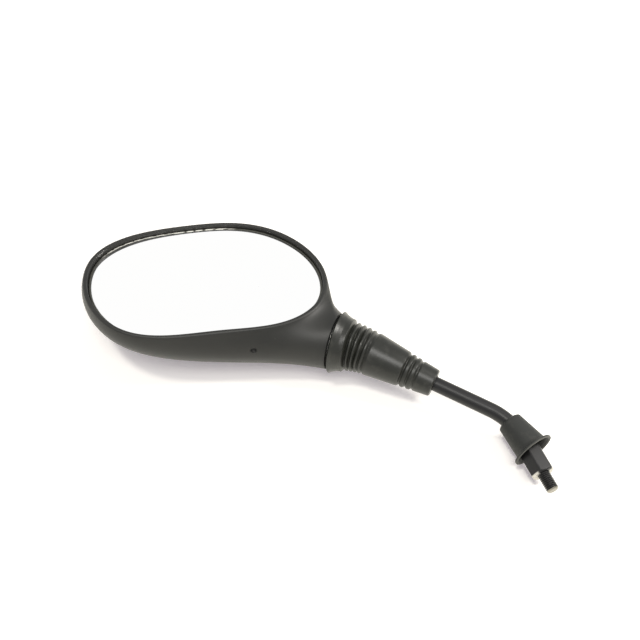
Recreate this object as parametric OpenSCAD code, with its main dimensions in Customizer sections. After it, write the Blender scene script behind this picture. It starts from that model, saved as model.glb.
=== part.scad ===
// Motorcycle mirror, lying face up: a moulded head on a ball-jointed, bent stem.
// The frame's origin is the stud's shoulder, where the mirror seats in its perch. +Z is up.

/* [Head outline] */
// Length of the rim along its long axis
rim_l = 171; // [150:1:190]
// Height of the rim across its long axis
rim_w = 110; // [96:1:124]
// Turn of the rim's long axis away from the neck
rim_turn = 20.5; // [14:0.5:27]
// Reach from the ball centre back to the rim's centre
rim_reach = 118.7; // [115:0.1:128]
// Sideways offset of the rim's centre from the neck's axis
rim_side = 4.3; // [0:0.1:8]
// Height of the rim's plane over the neck's axis
rim_rise = 24.6; // [24:0.1:28]
// How far the wall at the far end heads down from the rim before it turns in
bowl_drop = 40.2; // [36:0.2:44]
// How far the bowl's floor heads below the neck's lowest line
bowl_sink = 20.1; // [17:0.1:22]
// Width of the rim's lip
lip_w = 2.6; // [2.4:0.1:3]
// Wall of the housing
wall = 2.8; // [2.4:0.1:3.4]

/* [Neck and seam] */
// Outer radius of the neck at the seam
neck_r = 20; // [19.4:0.1:21]
// Distance from the ball centre back to the seam
seam_x = 21.3; // [21.2:0.1:23]
// Depth of the bore that holds the socket
neck_bore_l = 14; // [12:0.5:18]

/* [Glass] */
// Radius of the convex mirror's curve
glass_curve_r = 1400; // [1200:50:1800]
// Thickness of the glass
glass_t = 2; // [1.8:0.1:2.4]
// Depth of the glass face below the rim, at its middle
glass_recess = 2.2; // [1.8:0.1:2.4]
// Gap between the edge of the glass and the housing
glass_gap = 0.4; // [0.3:0.05:0.6]
// Thickness of the adhesive pad behind the glass
pad_t = 0.6; // [0.4:0.1:0.8]
// How far the adhesive pad stays inside the edge of the carrier
pad_inset = 2; // [1:0.5:4]
// Thickness of the carrier plate behind the pad
carrier_t = 2.4; // [2:0.1:3]
// How far the carrier plate stays inside the rim
carrier_inset = 8; // [7.4:0.1:9]
// Radius of the round windows in the carrier plate
window_r = 9; // [6:0.5:11]
// Distance of the carrier's two screws from the rim's centre
boss_reach = 44; // [40:1:48]

/* [Drain hole] */
// Radius of the drain hole in the lower wall
drain_r = 2.2; // [1.5:0.1:2.6]
// Distance of the drain hole from the rim's centre, along the rim
drain_along = 35.5; // [30:0.5:40]
// Depth of the drain hole below the rim
drain_depth = 14.2; // [13:0.1:16]

/* [Ball joint] */
// Radius of the ball
ball_r = 9; // [8.6:0.1:9.2]
// Running clearance of the ball, the cups and their seats
ball_gap = 0.06; // [0.05:0.01:0.08]
// Wall of the nylon cups
cup_t = 1.4; // [1.3:0.1:1.5]
// Gap between the two cups
cup_split = 1; // [0.6:0.1:1.4]
// Half angle of the mouth that the rod swings in
mouth_angle = 52; // [51:0.5:54]
// Outer radius of the socket
socket_r = 12.6; // [12.5:0.05:12.8]
// Thickness of the socket's flange
flange_t = 3; // [2.5:0.1:3.5]
// Radius of the socket's flange
flange_r = 17.7; // [17.4:0.1:17.9]
// Radius of the circle that the socket's screws stand on
screw_circle_r = 15.3; // [15.2:0.05:15.5]
// Free height of the pair of disc springs that loads the joint
spring_h = 2.2; // [1.8:0.1:2.6]

/* [Ribbed boot] */
// Radius of the boot's flared collar
collar_r = 22; // [21.4:0.1:22.6]
// Gap between the neck and the boot's collar
seam_gap = 1; // [0.8:0.1:1.6]
// Radius over the first rib
rib_r = 17.2; // [16.8:0.1:17.8]
// Depth of the grooves between the ribs
rib_depth = 1.6; // [1.2:0.1:1.8]
// Spacing of the grooves
rib_pitch = 3.45; // [3.2:0.05:3.6]
// Radius over the start of the cone
cone_r = 15.5; // [15.2:0.1:16]
// Radius over the end of the cone
cone_end_r = 12.5; // [12:0.1:13.2]
// Radius of the end collar
end_r = 9.6; // [9.2:0.1:10]
// Distance from the ball centre to the boot's small end
boot_end = 53.6; // [51:0.2:57]

/* [Stem] */
// Radius of the rod
rod_r = 5; // [4.6:0.1:5]
// Distance from the ball centre to the corner where the two straight runs meet
stem_run = 108.9; // [95:0.1:125]
// Distance from that corner to the stud's shoulder
base_run = 42.2; // [40:0.1:46]
// Bend radius of the rod's centre line
bend_r = 40; // [36:0.5:42]
// Plan angle of the neck
neck_turn = -20.5; // [-24:0.5:-17]
// Plan angle of the stem
stem_turn = -27.2; // [-31:0.1:-24]
// Fall of the stem towards its foot
stem_fall = 5.8; // [3:0.1:8]
// Plan angle of the foot
base_turn = -68.3; // [-72:0.1:-62]
// Fall of the foot
base_fall = 4.3; // [2:0.1:6]

/* [Foot] */
// Width of the hexagon across its flats
hex_flats = 14; // [13:0.5:14]
// Turn of the hexagon away from the bend's plane
hex_turn = -2; // [-30:1:30]
// Length of the hexagon
hex_l = 24; // [22:0.5:25]
// Chamfer on the corners of the hexagon
hex_chamfer = 1.4; // [0.8:0.1:2]
// Depth that the rod is let into the hexagon
rod_socket_l = 9; // [7:0.5:12]
// Nominal radius of the stud
stud_r = 4; // [3:0.5:4]
// Length of the stud
stud_l = 12; // [10:0.5:16]
// Chamfer on the stud's tip
stud_chamfer = 0.9; // [0.6:0.1:1.2]

/* [Bell boot] */
// How far round the bend the bell's cap grips the rod
bell_turn = 17.3; // [15:0.1:20]
// Lean of the bell from the foot's axis
bell_lean = 11; // [9:0.5:12]
// Clearance of the bell's bore on the rod
bell_gap = 0.1; // [0.05:0.05:0.3]
// Thickness of the bell's cap
bell_cap_t = 4; // [3:0.5:5]
// Length of the bell below the middle of its cap
bell_l = 23; // [22:0.1:25]
// Outer radius of the bell at its top
bell_top_r = 8.5; // [8.4:0.1:9.2]
// Outer radius of the bell above its flange
bell_foot_r = 11.3; // [11.2:0.1:12]
// Wall of the bell
bell_wall = 1.2; // [1:0.1:1.3]
// Radius of the bell's flange
bell_flange_r = 14.2; // [13.6:0.1:15.5]
// Thickness of the bell's flange
bell_flange_t = 1.6; // [1.4:0.1:2.2]

/* [Hidden] */
$fn = 64;

// Directions: from the ball down the stem, and from the corner down the foot
function heading(turn, fall) = [cos(turn) * cos(fall), sin(turn) * cos(fall), -sin(fall)];
neck_dir = heading(neck_turn, 0);
stem_dir = heading(stem_turn, stem_fall);
base_dir = heading(base_turn, base_fall);
corner_at = -base_dir * base_run;
ball_at = corner_at - stem_dir * stem_run;
bend_angle = acos(stem_dir * base_dir);
bend_reach = bend_r * tan(bend_angle / 2);

// A frame with its Z along one direction and its X as near as can be to a second one
module facing(at, along, towards) {
    side = cross(along, towards) / norm(cross(along, towards));
    ahead = cross(side, along);
    multmatrix([
        [ahead.x, side.x, along.x, at.x],
        [ahead.y, side.y, along.y, at.y],
        [ahead.z, side.z, along.z, at.z]])
        children();
}

// The head's frame: origin at the ball, +X along the neck towards the stem
module in_head() {
    translate(ball_at) rotate([0, 0, neck_turn]) children();
}

// Turned pieces of the neck: their axis is local Z, towards the stem
module on_neck() {
    in_head() rotate([0, 90, 0]) children();
}

// Turned pieces of the stem: origin at the ball, local Z down the rod, local X towards the bend
module on_stem() {
    facing(ball_at, stem_dir, base_dir) children();
}

// Half way between the neck's axis and the stem's
module between() {
    half = (neck_dir + stem_dir) / norm(neck_dir + stem_dir);
    facing(ball_at, half, base_dir) children();
}

// Turned pieces of the foot: origin at the shoulder, local Z up towards the rod
module on_foot() {
    facing([0, 0, 0], -base_dir, -stem_dir) children();
}

// The rim's frame: origin at its centre on the neck's level, +X along its long axis
module in_rim() {
    in_head() translate([-rim_reach, rim_side, 0]) rotate([0, 0, rim_turn]) children();
}

// The rim's outline: a closed cubic spline in fractions of half the rim's length and width
rim_hull = [[1, 0.255], [0.661, 0.827], [0.24, 1.045], [-0.216, 0.955], [-0.708, 0.791],
    [-1.029, 0.391], [-1, -0.336], [-0.69, -0.927], [-0.287, -1.036], [0.187, -0.9],
    [0.684, -0.836], [1.012, -0.427]];
function sum(v, i = 0) = i < len(v) ? v[i] + sum(v, i + 1) : 0;
function spline_weights(f) = [pow(1 - f, 3), 3 * pow(f, 3) - 6 * f * f + 4,
    -3 * pow(f, 3) + 3 * f * f + 3 * f + 1, pow(f, 3)] / 6;
function rim_fraction(turn) =
    let (n = len(rim_hull), u = turn * n, i = floor(u), w = spline_weights(u - i))
    [for (axis = [0, 1]) sum([for (k = [0:3]) w[k] * rim_hull[(i + k + n - 1) % n][axis]])];

// The outline in millimetres from the rim's centre, drawn in by an inset
function rim_point(turn, inset) =
    let (p = rim_fraction(turn), long = p.x * rim_l / 2, high = p.y * rim_w / 2,
        k = 1 - inset / norm([long, high]))
    [k * long, k * high];

// The same outline in the head's frame
function rim_in_head(turn, inset) =
    let (p = rim_point(turn, inset), c = cos(rim_turn), s = sin(rim_turn))
    [-rim_reach + p.x * c - p.y * s, rim_side + p.x * s + p.y * c];

// The housing's skin: from each point of the rim a cubic curve runs to the neck's circle. Its
// handles lean out and down under the rim, and lie back along the neck. The first value of a
// pair is for the side next to the neck, the second for the far end.
rim_drop = [2.7, bowl_drop];
rim_lean = [1.6, 17.7];
neck_back = [0.354, 0.778];
neck_sink = [1.4, bowl_sink];
neck_spread = 17;
floor_shift = 15.5;
function between(pair, far) = pair[0] + (pair[1] - pair[0]) * far;
function form_point(turn, t, inset) =
    let (p = rim_in_head(turn, inset), run = -seam_x - p.x,
        off = [run - rim_reach + seam_x, p.y - rim_side], way = off / norm(off),
        far = (1 + way.x) / 2, r = neck_r - inset, lean = between(rim_lean, far),
        from = [p.x, p.y, rim_rise], to = [-seam_x, r * way.y, -r * way.x],
        first = from + [-lean * way.x, lean * way.y, -between(rim_drop, far)],
        last = to + [-between(neck_back, far) * run, neck_spread * way.y + floor_shift * far,
            -between(neck_sink, far)], s = 1 - t)
    s * s * s * from + 3 * s * s * t * first + 3 * s * t * t * last + t * t * t * to;

module housing_form(around, rings, inset) {
    points = [for (k = [0:rings]) for (j = [0:around - 1])
        form_point(j / around, pow(k / rings, 1.2), inset)];
    walls = [for (k = [0:rings - 1]) for (j = [0:around - 1])
        let (a = k * around + j, b = k * around + (j + 1) % around)
        each [[a, b, a + around], [b, b + around, a + around]]];
    caps = [[for (j = [around - 1:-1:0]) j], [for (j = [0:around - 1]) rings * around + j]];
    polyhedron(points = points, faces = concat(walls, caps), convexity = 8);
}

// A straight prism of the outline between two depths below the rim
module rim_prism(inset, from, to) {
    in_rim() translate([0, 0, rim_rise - to]) linear_extrude(to - from)
        polygon([for (j = [0:71]) rim_point(j / 72, inset)]);
}

// Depths below the rim, where the glass's curve has fallen away by its sag
function sag(reach) = glass_curve_r - sqrt(glass_curve_r * glass_curve_r - reach * reach);
glass_floor = glass_recess + sag(rim_l / 2 - lip_w) + glass_t + 0.1;
carrier_face = glass_recess + glass_t + pad_t;
boss_sag = sag(boss_reach);

// Bosses for the carrier's screws stand on the rim's long axis
boss_r = 4;
boss_depth = carrier_face + carrier_t + boss_sag + 0.15;
carrier_screw_r = 1.4;
carrier_screw_l = 12;
carrier_head_r = 2.4;
carrier_head_h = 1.1;
module at_bosses() {
    in_rim() for (k = [-1, 1]) translate([k * boss_reach, 0, rim_rise - boss_depth]) children();
}

// The hollow ends at a wall across the neck, and below the glass's recess
neck_wall_x = -seam_x - neck_bore_l + 2;
carrier_room = 1;
carrier_floor = carrier_face + carrier_t + sag(rim_l / 2 - carrier_inset) + 0.15;
module hollow() {
    difference() {
        union() {
            intersection() {
                in_head() housing_form(60, 20, wall);
                in_head() translate([neck_wall_x - rim_l - rim_reach, -rim_l, -rim_l])
                    cube([rim_l + rim_reach, 2 * rim_l, rim_l + rim_rise - glass_floor + 0.05]);
            }
            rim_prism(carrier_inset - carrier_room, glass_floor - 0.05, carrier_floor);
        }
        at_bosses() translate([0, 0, -rim_w]) cylinder(h = rim_w, r = boss_r);
    }
}

socket_fit = 0.1;
module mirror_housing() {
    color("#3a3a38") difference() {
        in_head() housing_form(60, 26, 0);
        rim_prism(lip_w, -1, glass_floor);
        hollow();
        at_bosses() translate([0, 0, -carrier_screw_l]) cylinder(h = carrier_screw_l + 1, r = carrier_screw_r, $fn = 24);
        on_neck() translate([0, 0, -seam_x - neck_bore_l]) cylinder(h = neck_bore_l + 1, r = socket_r + socket_fit);
        on_neck() at_screws() translate([0, 0, -screw_grip]) cylinder(h = screw_grip + 1, r = screw_r, $fn = 24);
        in_rim() translate([drain_along, 0, rim_rise - drain_depth]) rotate([90, 0, 0])
            cylinder(h = rim_w, r = drain_r, $fn = 32);
    }
}

// Everything under the sphere that the mirror's face is part of, lowered by a depth
module under_curve(depth) {
    below = 2 * glass_floor;
    in_rim() translate([0, 0, rim_rise - glass_recess - depth]) rotate_extrude($fn = 128)
        intersection() {
            translate([0, -glass_curve_r]) circle(r = glass_curve_r, $fn = 2400);
            translate([0, -below]) square([rim_l, 2 * below]);
        }
}

// A sheet of even thickness that follows the curve
module curved_sheet(inset, from, thick) {
    intersection() {
        rim_prism(inset, 0, 2 * glass_floor);
        difference() {
            under_curve(from);
            under_curve(from + thick);
        }
    }
}

glass_inset = lip_w + glass_gap;
module mirror_glass() {
    color("#e9edee") curved_sheet(glass_inset, 0, glass_t);
}

module adhesive_pad() {
    color("#8f8f8a") curved_sheet(carrier_inset + pad_inset, glass_t, pad_t);
}

// A plate that follows the glass, with two windows and two screws in counterbores
module glass_carrier() {
    color("#222222") difference() {
        curved_sheet(carrier_inset, glass_t + pad_t, carrier_t);
        in_rim() for (k = [-1, 1]) translate([k * boss_reach / 2, 0, rim_rise - 3 * glass_floor])
            cylinder(h = 3 * glass_floor, r = window_r);
        at_bosses() translate([0, 0, -1]) cylinder(h = 2 * glass_floor, r = carrier_screw_r + 0.1, $fn = 24);
        at_bosses() translate([0, 0, carrier_t - carrier_head_h - 0.23])
            cylinder(h = 3, r = carrier_head_r + 0.3, $fn = 24);
    }
}

module carrier_screws() {
    color("silver") at_bosses() union() {
        translate([0, 0, 1 - carrier_screw_l])
            cylinder(h = carrier_screw_l + 0.3, r = carrier_screw_r - 0.05, $fn = 24);
        translate([0, 0, carrier_t - carrier_head_h - 0.2])
            cylinder(h = carrier_head_h, r = carrier_head_r, $fn = 24);
    }
}

// Ball joint: positions along the neck's axis, from the ball's centre
cup_in = ball_r + ball_gap;
cup_out = cup_in + cup_t;
seat_r = cup_out + ball_gap;
nut_r = seat_r + 1.2;
nut_back = -1.5;
nut_front = 6.5;
thrust_r = nut_r - 0.3;
thrust_back = -seat_r + 0.5;
thrust_front = nut_back - 0.7;
spring_back = thrust_back - spring_h;
socket_back = -seam_x - neck_bore_l + 0.2;
snout_front = nut_back + 4;
gasket_t = 0.5;
flange_back = -seam_x + gasket_t;
flange_front = flange_back + flange_t;
screw_r = 1.4;
screw_grip = 9;
screw_head_r = 1.9;
screw_head_h = 1.4;

module at_screws() {
    for (a = [0, 120, 240]) rotate([0, 0, a]) translate([screw_circle_r, 0, -seam_x]) children();
}

module socket() {
    color("#9c9a94") on_neck() difference() {
        union() {
            translate([0, 0, socket_back]) cylinder(h = snout_front - socket_back, r = socket_r);
            translate([0, 0, flange_back]) cylinder(h = flange_t, r = flange_r);
        }
        translate([0, 0, spring_back]) cylinder(h = 30, r = thrust_r + 0.1);
        translate([0, 0, nut_back]) cylinder(h = 20, r = nut_r + 0.05);
        translate([0, 0, socket_back - 1]) cylinder(h = 40, r = 7);
        at_screws() cylinder(h = flange_t + 3, r = screw_r + 0.2, $fn = 24);
    }
}

module socket_screws() {
    color("silver") on_neck() at_screws() union() {
        translate([0, 0, 1 - screw_grip]) cylinder(h = screw_grip + gasket_t + flange_t, r = screw_r - 0.05, $fn = 24);
        translate([0, 0, gasket_t + flange_t]) cylinder(h = screw_head_h, r = screw_head_r, $fn = 24);
    }
}

module neck_gasket() {
    color("#1c1c1c") on_neck() difference() {
        translate([0, 0, -seam_x]) cylinder(h = gasket_t, r = flange_r);
        translate([0, 0, -seam_x - 1]) cylinder(h = gasket_t + 2, r = socket_r + socket_fit);
        at_screws() translate([0, 0, -1]) cylinder(h = gasket_t + 2, r = screw_r + 0.2, $fn = 24);
    }
}

// A slotted ring nut closes the socket's mouth: its seat is part of a sphere
module clamp_nut() {
    color("#b0aea8") on_neck() difference() {
        translate([0, 0, nut_back + 0.3]) cylinder(h = nut_front - nut_back - 0.3, r = nut_r);
        sphere(r = seat_r);
        for (a = [0, 90]) rotate([0, 0, a]) translate([-socket_r, -1, nut_front - 1.6])
            cube([2 * socket_r, 2, 4]);
    }
}

module thrust_ring() {
    color("#b0aea8") on_neck() difference() {
        translate([0, 0, thrust_back]) cylinder(h = thrust_front - thrust_back, r = thrust_r);
        sphere(r = seat_r);
    }
}

// Two conical disc springs, back to back
spring_t = 0.6;
spring_bore_r = 7.4;
module disc_springs() {
    out = thrust_r - 0.3;
    color("#8e9196") on_neck() translate([0, 0, spring_back]) rotate_extrude()
        polygon([[spring_bore_r, 0], [out, (spring_h - spring_t) / 2], [out, (spring_h + spring_t) / 2],
            [spring_bore_r, spring_h], [spring_bore_r, spring_h - spring_t],
            [out - 1.2, spring_h / 2], [spring_bore_r, spring_t]]);
}

// A cup is a band of a hollow sphere between two angles from the stem's side
module cup(from, to) {
    reach = 2 * cup_out;
    rotate_extrude() intersection() {
        difference() {
            circle(r = cup_out);
            circle(r = cup_in);
        }
        polygon([[0, 0], [reach * sin(from), reach * cos(from)],
            [reach * sin((from + to) / 2), reach * cos((from + to) / 2)],
            [reach * sin(to), reach * cos(to)]]);
    }
}

split_angle = asin(cup_split / 2 / cup_in);
rear_mouth = 145;
module ball_cup_rear() {
    color("#e4e1d6") on_neck() cup(90 + split_angle, rear_mouth);
}

module ball_cup_front() {
    color("#e4e1d6") on_neck() cup(mouth_angle, 90 - split_angle);
}

// Ribbed boot: the collar stands on the neck's axis, the cone on the stem's, and the ribs
// flex between them
rib_start = -10.6;
rib_end = rib_start + 5 * rib_pitch;
rib_fade = 0.45;
collar_back = -seam_x + seam_gap;
collar_fit_r = flange_r + 0.3;
boot_bore_r = socket_r + 0.9;
function groove_z(k) = rib_start + (k + 0.5) * rib_pitch;
function groove_r(k) = rib_r - rib_depth - rib_fade * k * 0.6;
function rib_top(k) = [[rib_r - rib_fade * k, groove_z(k) + 0.36 * rib_pitch],
    [rib_r - rib_fade * k, groove_z(k) + 0.6 * rib_pitch]];

module boot_collar() {
    rotate_extrude() polygon(concat(
        [[collar_fit_r, collar_back], [collar_r - 2.2, collar_back], [collar_r, collar_back + 1.3],
            [collar_r - 1.4, collar_back + 3.6], [collar_r - 2.6, collar_back + 6.8],
            [rib_r + 1.7, rib_start - 1.2], [rib_r + 1.6, rib_start - 0.2],
            [groove_r(0), groove_z(0)]],
        rib_top(0),
        [[groove_r(1), groove_z(1)], [groove_r(1), groove_z(1) + 0.7],
            [boot_bore_r, groove_z(1) + 0.7], [boot_bore_r, rib_start],
            [collar_fit_r, rib_start - 3.4]]));
}

module boot_ribs() {
    rotate_extrude() polygon(concat(
        [[groove_r(1) - 0.05, groove_z(1) - 0.6], [groove_r(1) - 0.05, groove_z(1)]],
        rib_top(1),
        [[groove_r(2), groove_z(2)]],
        rib_top(2),
        [[groove_r(3), groove_z(3)]],
        rib_top(3),
        [[groove_r(4) - 0.05, groove_z(4)], [groove_r(4) - 0.05, groove_z(4) + 0.6],
            [boot_bore_r + 0.1, groove_z(4) + 0.6], [boot_bore_r + 0.1, groove_z(1) - 0.6]]));
}

end_ring_pitch = 4.8;
end_bore_r = rod_r + 2.1;
lip_gap = 0.35;
cone_end = boot_end - 23;
module boot_cone() {
    p = end_ring_pitch;
    r = cone_end_r;
    fall = (cone_end_r - end_r) / 3.2;
    rotate_extrude() polygon([
        [groove_r(4), groove_z(4) - 0.5], [groove_r(4), groove_z(4) + 0.3], [cone_r, rib_end],
        [r, cone_end], [r - fall - 0.6, cone_end + 0.25 * p], [r - fall - 0.5, cone_end + 0.45 * p],
        [r - 0.4, cone_end + 0.6 * p], [r - 0.5, cone_end + 0.9 * p],
        [r - 2 * fall, cone_end + 1.15 * p], [r - 2 * fall, cone_end + 1.4 * p],
        [r - 1.1, cone_end + 1.6 * p], [r - 1.2, cone_end + 1.85 * p],
        [r - 2.5 * fall, cone_end + 2.1 * p], [r - 2.5 * fall, cone_end + 2.35 * p],
        [end_r + 1.2, cone_end + 2.55 * p], [end_r, boot_end - 1], [end_r - 1, boot_end],
        [rod_r + lip_gap, boot_end], [rod_r + lip_gap, boot_end - 1.5], [end_bore_r, boot_end - 1.5],
        [end_bore_r, boot_end - 1.8 - bush_l], [cone_end_r - 2, cone_end],
        [boot_bore_r, rib_end + 2], [boot_bore_r, groove_z(4) - 0.5]]);
}

module ribbed_boot() {
    color("#2c2d2b") union() {
        on_neck() boot_collar();
        between() boot_ribs();
        on_stem() boot_cone();
    }
}

// A snap ring on the socket keeps the boot's collar round
module collar_ring() {
    color("#d8d5ca") on_neck() translate([0, 0, flange_front + screw_head_h + 0.3]) difference() {
        cylinder(h = 2, r = flange_r);
        translate([0, 0, -1]) cylinder(h = 4, r = socket_r + 0.1);
    }
}

// A nylon bush centres the boot's small end on the rod
bush_l = 9;
module end_bush() {
    color("#d8d5ca") on_stem() translate([0, 0, boot_end - 1.6 - bush_l]) difference() {
        cylinder(h = bush_l, r = end_bore_r - 0.05);
        translate([0, 0, -1]) cylinder(h = bush_l + 2, r = rod_r + 0.05);
    }
}

// Stem: the ball is pressed on a spigot, against the rod's end
spigot_r = 3.6;
rod_start = ball_r / 3;
module stem_ball() {
    color("#77797b") on_stem() difference() {
        sphere(r = ball_r);
        translate([0, 0, -ball_r - 1]) cylinder(h = 2 * ball_r, r = spigot_r + 0.02);
        translate([0, 0, rod_start - 0.02]) cylinder(h = ball_r, r = rod_r + 0.02);
    }
}

// The rod's bend is a hair thicker than its straight runs, which end inside it
bend_swell = 0.03;
bend_lap = 0.8;
module rod_bend(r) {
    on_stem() translate([bend_r, 0, stem_run - bend_reach]) rotate([90, 0, 0])
        rotate([0, 0, 180 - bend_angle]) rotate_extrude(angle = bend_angle, $fn = 180)
            translate([bend_r, 0]) circle(r = r, $fn = 64);
}

module stem_rod() {
    color("#1b1b1b") union() {
        on_stem() translate([0, 0, -ball_r + 1]) cylinder(h = ball_r + rod_start, r = spigot_r);
        on_stem() translate([0, 0, rod_start])
            cylinder(h = stem_run - bend_reach + bend_lap - rod_start, r = rod_r);
        rod_bend(rod_r + bend_swell);
        on_foot() translate([0, 0, hex_l - rod_socket_l])
            cylinder(h = base_run - bend_reach + bend_lap - hex_l + rod_socket_l, r = rod_r);
    }
}

hex_corner_r = hex_flats / 2 / cos(30);
module hex_foot() {
    color("#1b1b1b") on_foot() difference() {
        union() {
            intersection() {
                rotate([0, 0, hex_turn]) cylinder(h = hex_l, r = hex_corner_r, $fn = 6);
                union() {
                    cylinder(h = hex_chamfer, r1 = hex_corner_r - hex_chamfer, r2 = hex_corner_r + 0.01);
                    translate([0, 0, hex_chamfer]) cylinder(h = hex_l, r = hex_corner_r + 0.01);
                }
            }
            translate([0, 0, -stud_l + stud_chamfer]) cylinder(h = stud_l - stud_chamfer + 1, r = stud_r);
            translate([0, 0, -stud_l]) cylinder(h = stud_chamfer, r1 = stud_r - stud_chamfer, r2 = stud_r);
        }
        translate([0, 0, hex_l - rod_socket_l - 0.02]) cylinder(h = rod_socket_l + 1, r = rod_r + 0.02);
    }
}

// The bell's axis starts on the rod's centre line, part of the way round the bend
bell_up = base_run - bend_reach + bend_r * sin(bell_turn);
module on_bell() {
    on_foot() translate([bend_r * (1 - cos(bell_turn)), 0, bell_up]) rotate([0, bell_lean, 0]) children();
}

module bell_boot() {
    top = bell_cap_t / 2;
    pocket = hex_l - bell_up + hex_corner_r * sin(bell_lean) + 0.6;
    color("#30312f") difference() {
        on_bell() rotate_extrude() polygon([
            [0, top], [bell_top_r - 1.6, top], [bell_top_r - 0.5, top - 0.5],
            [bell_top_r, top - 1.6], [bell_foot_r, -bell_l + bell_flange_t + 1.8],
            [bell_foot_r + 1.2, -bell_l + bell_flange_t + 0.5], [bell_flange_r - 0.5, -bell_l + bell_flange_t - 0.2],
            [bell_flange_r, -bell_l + bell_flange_t - 0.8], [bell_flange_r, -bell_l + 0.3],
            [bell_flange_r - 0.6, -bell_l], [bell_flange_r - 1.4, -bell_l + 0.2],
            [bell_foot_r - bell_wall + 1, -bell_l + 1.9], [bell_foot_r - bell_wall, -bell_l + 3.6],
            [hex_corner_r + 1.4, pocket], [bell_top_r - 1.2, pocket + 1.2],
            [bell_top_r - bell_wall, -top], [0, -top]]);
        rod_bend(rod_r + bell_gap);
        on_foot() cylinder(h = base_run - bend_reach + 0.5, r = rod_r + bell_gap);
    }
}

mirror_housing();
mirror_glass();
adhesive_pad();
glass_carrier();
carrier_screws();
socket();
socket_screws();
neck_gasket();
clamp_nut();
thrust_ring();
disc_springs();
ball_cup_rear();
ball_cup_front();
ribbed_boot();
collar_ring();
end_bush();
stem_ball();
stem_rod();
hex_foot();
bell_boot();
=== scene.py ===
"""Looks of a motorcycle mirror lying face up on a white table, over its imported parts."""
import math

import bpy
import numpy as np
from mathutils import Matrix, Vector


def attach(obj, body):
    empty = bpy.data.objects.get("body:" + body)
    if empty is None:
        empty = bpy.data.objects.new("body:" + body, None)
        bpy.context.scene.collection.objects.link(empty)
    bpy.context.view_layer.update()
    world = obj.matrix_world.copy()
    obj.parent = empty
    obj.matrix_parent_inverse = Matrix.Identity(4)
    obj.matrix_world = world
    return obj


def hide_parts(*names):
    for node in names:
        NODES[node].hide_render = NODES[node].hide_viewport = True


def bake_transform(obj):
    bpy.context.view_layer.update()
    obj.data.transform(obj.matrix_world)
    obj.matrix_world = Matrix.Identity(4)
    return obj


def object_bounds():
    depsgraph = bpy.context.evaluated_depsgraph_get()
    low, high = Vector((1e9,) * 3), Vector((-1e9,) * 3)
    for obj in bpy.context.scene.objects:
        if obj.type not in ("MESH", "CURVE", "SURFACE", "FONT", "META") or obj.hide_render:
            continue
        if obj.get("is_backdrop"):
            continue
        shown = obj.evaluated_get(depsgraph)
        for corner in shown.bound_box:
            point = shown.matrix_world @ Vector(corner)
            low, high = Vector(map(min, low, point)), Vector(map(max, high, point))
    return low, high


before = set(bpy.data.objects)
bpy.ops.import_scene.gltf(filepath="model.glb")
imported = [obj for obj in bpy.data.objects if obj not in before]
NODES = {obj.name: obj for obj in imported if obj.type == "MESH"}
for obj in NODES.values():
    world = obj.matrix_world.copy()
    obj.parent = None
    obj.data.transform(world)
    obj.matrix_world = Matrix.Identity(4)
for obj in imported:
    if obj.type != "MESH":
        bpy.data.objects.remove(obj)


def plain(value):
    """Nested lists of floats, whatever bounds() gives."""
    if isinstance(value, dict):
        return {k: plain(v) for k, v in value.items()}
    if isinstance(value, (int, float)):
        return float(value)
    return [plain(v) for v in value]


SIZE = {"start": plain(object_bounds())}

# ---------------------------------------------------------------- dimensions, mm
MM = 0.001
RIM_L, RIM_W, RIM_TURN = 171.0, 110.0, 20.5
RIM_REACH, RIM_SIDE, RIM_RISE = 118.7, 4.3, 24.6
LIP_W, GLASS_FLOOR = 2.6, 6.8
NECK_R, SEAM_X, SEAM_GAP = 20.0, 21.3, 1.0
DRAIN_R, DRAIN_ALONG, DRAIN_DEPTH = 2.2, 35.5, 14.2
GLASS_R, GLASS_T, GLASS_RECESS, GLASS_GAP = 1400.0, 2.0, 2.2, 0.4
ROD_R, STEM_RUN, BASE_RUN, BEND_R = 5.0, 108.9, 42.2, 40.0
HEX_FLATS, HEX_TURN, HEX_L, STUD_R, STUD_L = 14.0, -2.0, 24.0, 4.0, 12.0
BELL_TURN, BELL_LEAN, BELL_L = 17.3, 11.0, 23.0
TABLE_Z = SIZE["start"][0][2] / MM - 0.02
TABLE_HALF = 6000.0
V_MM = 100.0  # mm of length in one unit of v, on the lathed, swept and turned pieces

# The housing's lines, as in the part's source: values beside the neck and at the far side
RIM_DROP, RIM_LEAN = (2.7, 40.2), (1.6, 17.7)
NECK_BACK, NECK_SINK = (0.354, 0.778), (1.4, 20.1)
NECK_SPREAD, FLOOR_SHIFT = 17.0, 15.5

# The photograph's camera: a pinhole of FOCAL_PX over an image of IMAGE_PX
FOCAL_PX, IMAGE_PX, SENSOR = 850.0, 640.0, 36.0
EYE, EYE_TILT = (-0.141510, -0.270971, 0.474625), 40.0


def heading(turn, fall):
    """Unit vector at a plan angle, falling by an angle, in degrees."""
    a, e = math.radians(turn), math.radians(fall)
    return np.array([math.cos(a) * math.cos(e), math.sin(a) * math.cos(e), -math.sin(e)])


NECK, STEM, BASE = heading(-20.5, 0), heading(-27.2, 5.8), heading(-68.3, 4.3)
CORNER = -BASE * BASE_RUN
BALL = CORNER - STEM * STEM_RUN
BEND = math.acos(float(STEM @ BASE))
REACH = BEND_R * math.tan(BEND / 2)


def axes(at, along, towards):
    """Origin and X, Y, Z columns of a frame with Z along one vector, X towards another."""
    side = np.cross(along, towards)
    side = side / np.linalg.norm(side)
    return at, np.cross(side, along), side, along


def place(fr, pts):
    """Local points (..., 3) of a frame as world points."""
    at, x, y, z = fr
    return at + pts[..., :1] * x + pts[..., 1:2] * y + pts[..., 2:3] * z


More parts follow.
